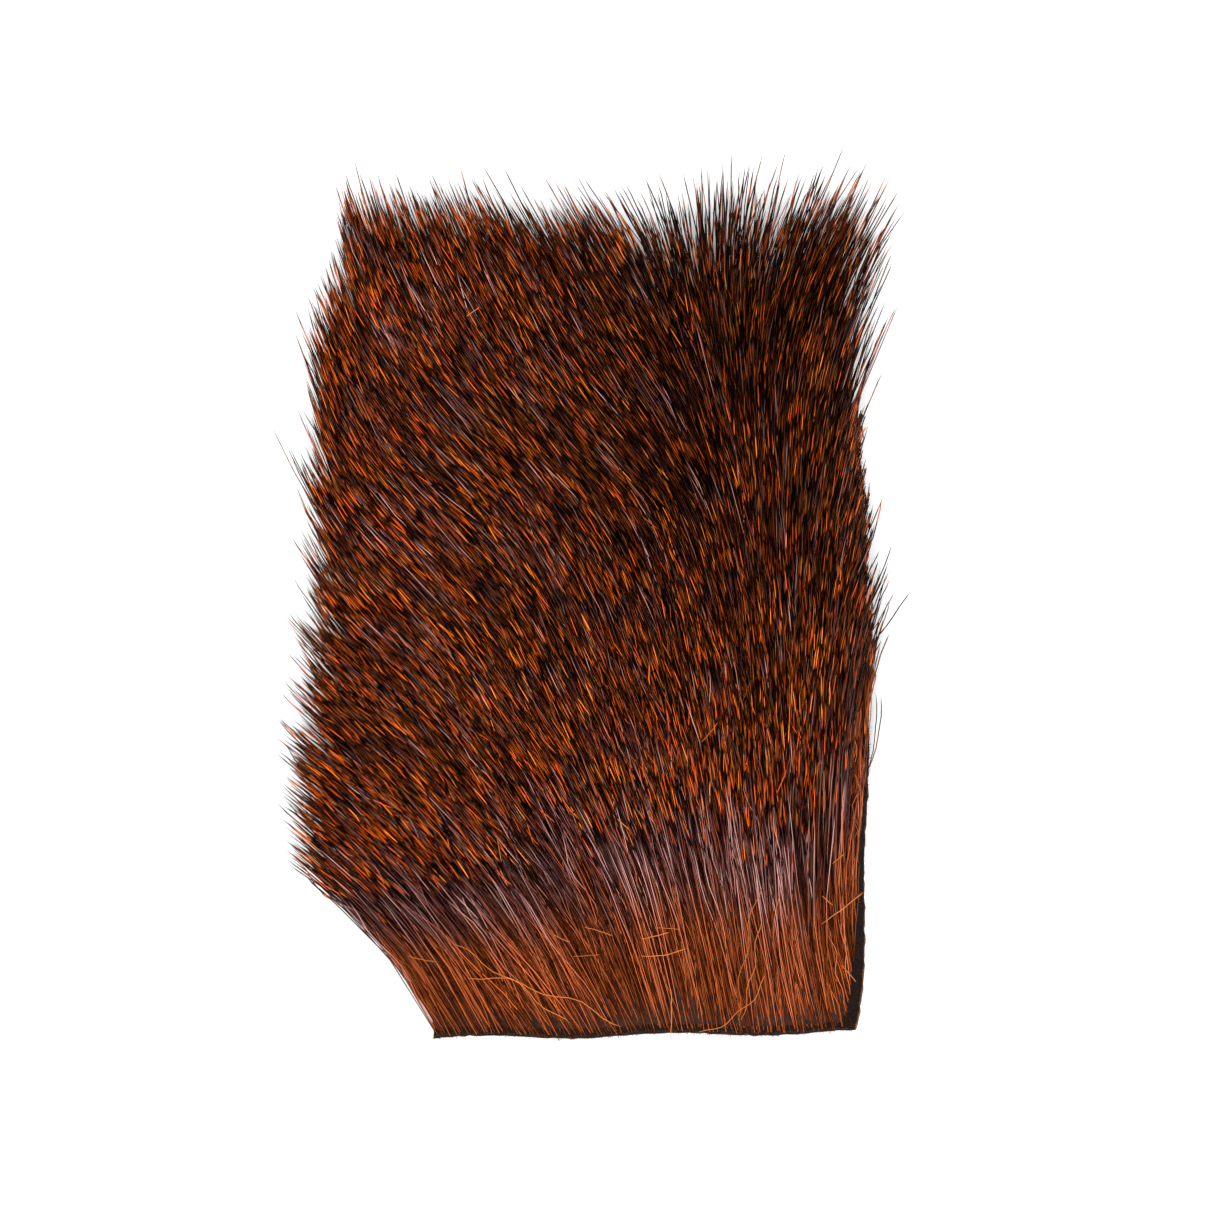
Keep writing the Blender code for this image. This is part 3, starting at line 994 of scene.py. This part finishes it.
class DEERHIDE_OT_grow_under_hair(bpy.types.Operator):
    """Grow short dark hairs low in the coat"""

    bl_idname = "deer_hide.grow_under_hair"
    bl_label = "Grow the under hair"

    def execute(self, context):
        count = context.scene.patch_counts.under_hairs
        grow_coats(context.scene, "under hair", UNDER_BAND, [(UNDER_COAT, count)])
        return {"FINISHED"}


class DEERHIDE_OT_grow_guard_hair(bpy.types.Operator):
    """Grow the banded guard hairs that make the coat"""

    bl_idname = "deer_hide.grow_guard_hair"
    bl_label = "Grow the guard hair"

    def execute(self, context):
        count = context.scene.patch_counts.guard_hairs // len(GUARD_COATS)
        coats = [(coat, count) for coat in GUARD_COATS]
        grow_coats(context.scene, "guard hair", GUARD_BAND, coats)
        return {"FINISHED"}


class DEERHIDE_OT_grow_top_hair(bpy.types.Operator):
    """Grow the banded hairs that lie over the rest of the coat, straight all over and wavy low down"""

    bl_idname = "deer_hide.grow_top_hair"
    bl_label = "Grow the top hair"

    def execute(self, context):
        counts = context.scene.patch_counts
        coats = [(TOP_COAT, counts.top_hairs), (WAVY_COAT, counts.wavy_hairs)]
        grow_coats(context.scene, "top hair", GUARD_BAND, coats)
        return {"FINISHED"}


def arcs(starts, heading, length, turn, swing, phase, stations):
    """Flat paths (n, stations, 2) of even steps that head this way on average, turning evenly and
    swinging by a sine."""
    level = (np.arange(stations - 1) + 0.5) / (stations - 1)
    angle = heading[:, None] + turn[:, None] * (level - 0.5)
    angle = angle + swing[:, None] * np.sin(LOOSE_WAVES * 2 * np.pi * level + phase[:, None])
    steps = heading_way(angle) * (length / (stations - 1))[:, None, None]
    path = np.concatenate([starts[:, None], steps], axis=1)
    return np.cumsum(path, axis=1)


def coat_top(points, sizes):
    """Height of the coat's surface: it rises over one hair's length from the skin's lower edge."""
    level = np.clip((points[..., 1] - LOW_LEFT[1]) / sizes.hair_length, 0, 1)
    return SKIN_TOP + sizes.coat_height * TOP_COAT.height[1] * rise_at(level)


def tuft_paths(rng, tufts):
    """Paths of tufts of hairs that stand out from the skin's right edge."""
    found = []
    for tuft in tufts:
        along = rng.uniform(*tuft.along, tuft.count)
        starts = leaned_in(np.ones(tuft.count), along) - (tuft.inside, 0)
        heading = rng.normal(tuft.heading, tuft.spread, tuft.count)
        length = rng.uniform(*tuft.length, tuft.count)
        turn = rng.normal(tuft.turn, TUFT_TURN_SPREAD, tuft.count)
        swing = np.full(tuft.count, TUFT_SWING)
        flat = arcs(starts, heading, length, turn, swing, along * TUFT_PHASE, TUFT_STATIONS)
        rise = rng.uniform(*TUFT_RISE_SPREAD, tuft.count) * tuft.rise
        found.append(stood_up(flat, rise, np.zeros(tuft.count), np.linspace(0, 1, TUFT_STATIONS)))
    return np.concatenate(found)


class DEERHIDE_OT_scatter_loose_hair(bpy.types.Operator):
    """Lay loose light hairs over the coat and tufts past its right edge"""

    bl_idname = "deer_hide.scatter_loose_hair"
    bl_label = "Scatter the loose hair"

    def execute(self, context):
        scene = context.scene
        colours = scene.patch_colours
        rng = np.random.default_rng(LOOSE_SEED)
        x, y, heading, length, turn = np.array(LOOSE_HAIRS, float).T
        swing = np.where(length > LONG_FROM, LONG_SWING, SHORT_SWING)
        phase = rng.random(len(x)) * 2 * np.pi
        flat = arcs(np.column_stack([x, y]), heading, length, turn, swing, phase, LOOSE_STATIONS)
        up = coat_top(flat, scene.patch_sizes) + LOOSE_LIFT
        loose = np.concatenate([flat, up[..., None]], axis=2)
        finish = plain_hair("loose hair", scaled(colours.loose, LOOSE_DARKEST), colours.loose)
        self.lay("loose_hair", rng, loose, LOOSE_WIDTH, finish)
        self.lay("light_tufts", rng, tuft_paths(rng, LIGHT_TUFTS), LOOSE_WIDTH, finish)
        finish = banded_hair("tuft hair", colours, TUFT_BAND)
        self.lay("banded_tufts", rng, tuft_paths(rng, BANDED_TUFTS), TUFT_WIDTH, finish)
        return {"FINISHED"}

    def lay(self, name, rng, paths, width, finish):
        """Place these paths as hairs of about this width."""
        level = np.linspace(0, 1, paths.shape[1])
        radii = hair_radii(width * rng.uniform(*STRAND_SPREAD, len(paths)), level)
        place(tubes(name, paths, radii, rng.random(len(paths)), level), finish)


class DEERHIDE_OT_fray_edge(bpy.types.Operator):
    """Fray the knife-cut edge with short fibres"""

    bl_idname = "deer_hide.fray_edge"
    bl_label = "Fray the edge"

    def execute(self, context):
        scene = context.scene
        colours = scene.patch_colours
        rng = np.random.default_rng(FUZZ_SEED)
        paths = []
        for side, share, outward in FUZZ_SIDES:
            n = int(scene.patch_counts.fuzz * share)
            spread = rng.random(n)
            fixed = np.full(n, 1.0 if side in ("right", "top") else 0.0)
            across, along = (spread, fixed) if side in ("low", "top") else (fixed, spread)
            height = rng.random(n)
            root = leaned_in(across, along, height) - np.multiply(outward, FUZZ_ROOT)
            root = np.column_stack([root, between(FUZZ_LOWEST, SKIN_TOP, height)])
            way = rng.normal(0, FUZZ_SPREAD, (n, 3)) + (*outward, FUZZ_RISE)
            way /= np.linalg.norm(way, axis=1, keepdims=True)
            length = scene.patch_sizes.fuzz_length * between(FUZZ_SHORTEST, 1.0, rng.random(n) ** 3)
            bend = rng.normal(0, FUZZ_BEND, (n, 3)) * length[:, None]
            middle = root + way * length[:, None] / 2 + bend
            tip = root + way * length[:, None]
            paths.append(np.stack([root, middle, tip], axis=1))
        paths = np.concatenate(paths)
        paths[..., 2] = np.maximum(paths[..., 2], FUZZ_WIDTH)
        level = np.linspace(0, 1, 3)
        radii = np.tile([FUZZ_WIDTH / 2, FUZZ_WIDTH / 2, 0], (len(paths), 1))
        finish = plain_hair("cut fibre", colours.cut, scaled(colours.shaft, FUZZ_LIGHT))
        place(tubes("cut_fuzz", paths, radii, rng.random(len(paths)), level), finish)
        return {"FINISHED"}


def aimed(spot):
    """The turn that makes a lamp at this spot shine at the patch's middle."""
    x, y, z = spot
    return math.atan2(math.hypot(x, y), z), 0.0, math.atan2(x, -y)


class DEERHIDE_OT_set_stage(bpy.types.Operator):
    """Set the pale floor, the soft lights and the camera straight above"""

    bl_idname = "deer_hide.set_stage"
    bl_label = "Set the stage"

    def execute(self, context):
        scene = context.scene
        half = FLOOR_SIZE / 2
        mesh = bpy.data.meshes.new("floor")
        corners = [(-half, -half), (half, -half), (half, half), (-half, half)]
        mesh.from_pydata([(x, y, -FLOOR_DROP) for x, y in corners], [], [(0, 1, 2, 3)])
        floor = linked(mesh)
        paint, _, shader = new_material("pale floor", roughness=0.8)
        shader.inputs["Base Color"].default_value = (FLOOR_GREY, FLOOR_GREY, FLOOR_GREY, 1)
        shader.inputs["Emission Color"].default_value = (1, 1, 1, 1)
        shader.inputs["Emission Strength"].default_value = FLOOR_GLOW
        mesh.materials.append(paint)

        world = bpy.data.worlds.new("studio")
        world.use_nodes = True
        sky = world.node_tree.nodes["Background"]
        sky.inputs["Color"].default_value = (1, 1, 1, 1)
        sky.inputs["Strength"].default_value = WORLD_LIGHT
        scene.world = world
        for name, spot, size, power in LAMPS:
            data = bpy.data.lights.new(name, "AREA")
            data.size = size
            data.energy = power
            lamp = linked(data)
            lamp.location = spot
            lamp.rotation_euler = aimed(spot)

        camera = bpy.data.cameras.new("camera")
        camera.lens = LENS
        camera.sensor_width = SENSOR
        eye = linked(camera)
        eye.location = (*VIEW_MIDDLE, VIEW_WIDTH * LENS / SENSOR)
        scene.camera = eye
        scene.view_settings.view_transform = "Standard"
        return {"FINISHED"}


class DEERHIDE_PT_panel(bpy.types.Panel):
    """Lists the steps of making the patch"""

    bl_idname = "DEERHIDE_PT_panel"
    bl_label = "Deer Hair Patch"
    bl_space_type = "VIEW_3D"
    bl_region_type = "UI"
    bl_category = "Deer Hair"

    def draw(self, context):
        for step in STEPS:
            self.layout.operator(step.bl_idname)


GROUPS = (
    ("patch_sizes", PatchSizes),
    ("patch_counts", PatchCounts),
    ("patch_colours", PatchColours),
)
STEPS = (
    DEERHIDE_OT_set_stage,
    DEERHIDE_OT_lay_skin,
    DEERHIDE_OT_fill_underfur,
    DEERHIDE_OT_grow_under_hair,
    DEERHIDE_OT_grow_guard_hair,
    DEERHIDE_OT_grow_top_hair,
    DEERHIDE_OT_scatter_loose_hair,
    DEERHIDE_OT_fray_edge,
)


def register():
    """Register the groups, the steps and the panel."""
    for name, group in GROUPS:
        bpy.utils.register_class(group)
        setattr(bpy.types.Scene, name, bpy.props.PointerProperty(type=group))
    for step in (*STEPS, DEERHIDE_PT_panel):
        bpy.utils.register_class(step)


def unregister():
    """Undo what register does, in reverse."""
    for step in (DEERHIDE_PT_panel, *reversed(STEPS)):
        bpy.utils.unregister_class(step)
    for name, group in reversed(GROUPS):
        delattr(bpy.types.Scene, name)
        bpy.utils.unregister_class(group)


def main():
    """Set the stage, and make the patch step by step."""
    register()
    bpy.ops.deer_hide.set_stage()
    bpy.ops.deer_hide.lay_skin()
    bpy.ops.deer_hide.fill_underfur()
    bpy.ops.deer_hide.grow_under_hair()
    bpy.ops.deer_hide.grow_guard_hair()
    bpy.ops.deer_hide.grow_top_hair()
    bpy.ops.deer_hide.scatter_loose_hair()
    bpy.ops.deer_hide.fray_edge()


if __name__ == "__main__":
    main()
